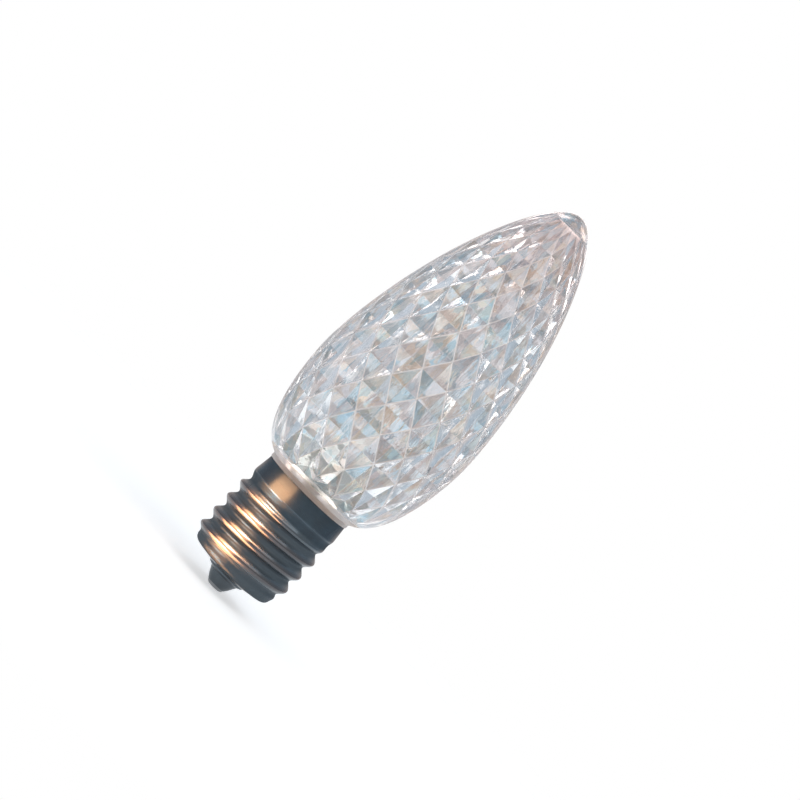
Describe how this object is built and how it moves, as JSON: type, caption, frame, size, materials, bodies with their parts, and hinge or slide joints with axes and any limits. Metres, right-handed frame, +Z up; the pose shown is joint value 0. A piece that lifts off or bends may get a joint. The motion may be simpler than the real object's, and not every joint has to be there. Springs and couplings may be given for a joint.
{
  "type": "christmas light bulb",
  "caption": "Clear Christmas light bulb: a tapered hollow lens with a diamond pattern on its inner face, small lamps inside and a screw base with a centre contact.",
  "frame": {"origin": "centre of the flat foot of the centre contact's solder", "axes": "+Z up the bulb's axis to the lens's tip; -Y faces the picture's camera"},
  "size_m": [0.0282, 0.0282, 0.0772],
  "materials": {
    "clear_lens": "clear moulded plastic, smooth outside",
    "adhesive": "cured",
    "shell_metal": "dark nickel, rolled and polished",
    "black_insulator": "glossy",
    "contact_metal": "dark, rubbed",
    "solder": "satin",
    "white_moulding": "satin",
    "board_green": "lacquered",
    "resistor_tan": "lacquered",
    "tinned_wire": "bright",
    "black_moulding": "satin",
    "white_insulation": "satin",
    "bare_copper": "bright",
    "lamp_clear": "clear",
    "phosphor": "matt"
  },
  "bodies": {
    "root": {"lens": "clear_lens", "neck_adhesive": "adhesive", "screw_shell": "shell_metal", "base_insulator": "black_insulator", "centre_contact": "contact_metal", "contact_solder": "solder", "led_holder": "white_moulding", "circuit_board": "board_green", "board_solder": "solder", "dropper_resistor": "resistor_tan", "resistor_leads": "tinned_wire", "rectifier_diode": "black_moulding", "diode_tabs": "tinned_wire", "neutral_wire": "white_insulation", "neutral_core": "bare_copper", "shell_solder": "solder", "led_1": "lamp_clear", "led_2": "lamp_clear", "led_3": "lamp_clear", "led_4": "lamp_clear", "led_5": "lamp_clear", "led_1_legs": "tinned_wire", "led_2_legs": "tinned_wire", "led_3_legs": "tinned_wire", "led_4_legs": "tinned_wire", "led_5_legs": "tinned_wire", "led_1_phosphor": "phosphor", "led_2_phosphor": "phosphor", "led_3_phosphor": "phosphor", "led_4_phosphor": "phosphor", "led_5_phosphor": "phosphor"}
  },
  "joints": []
}
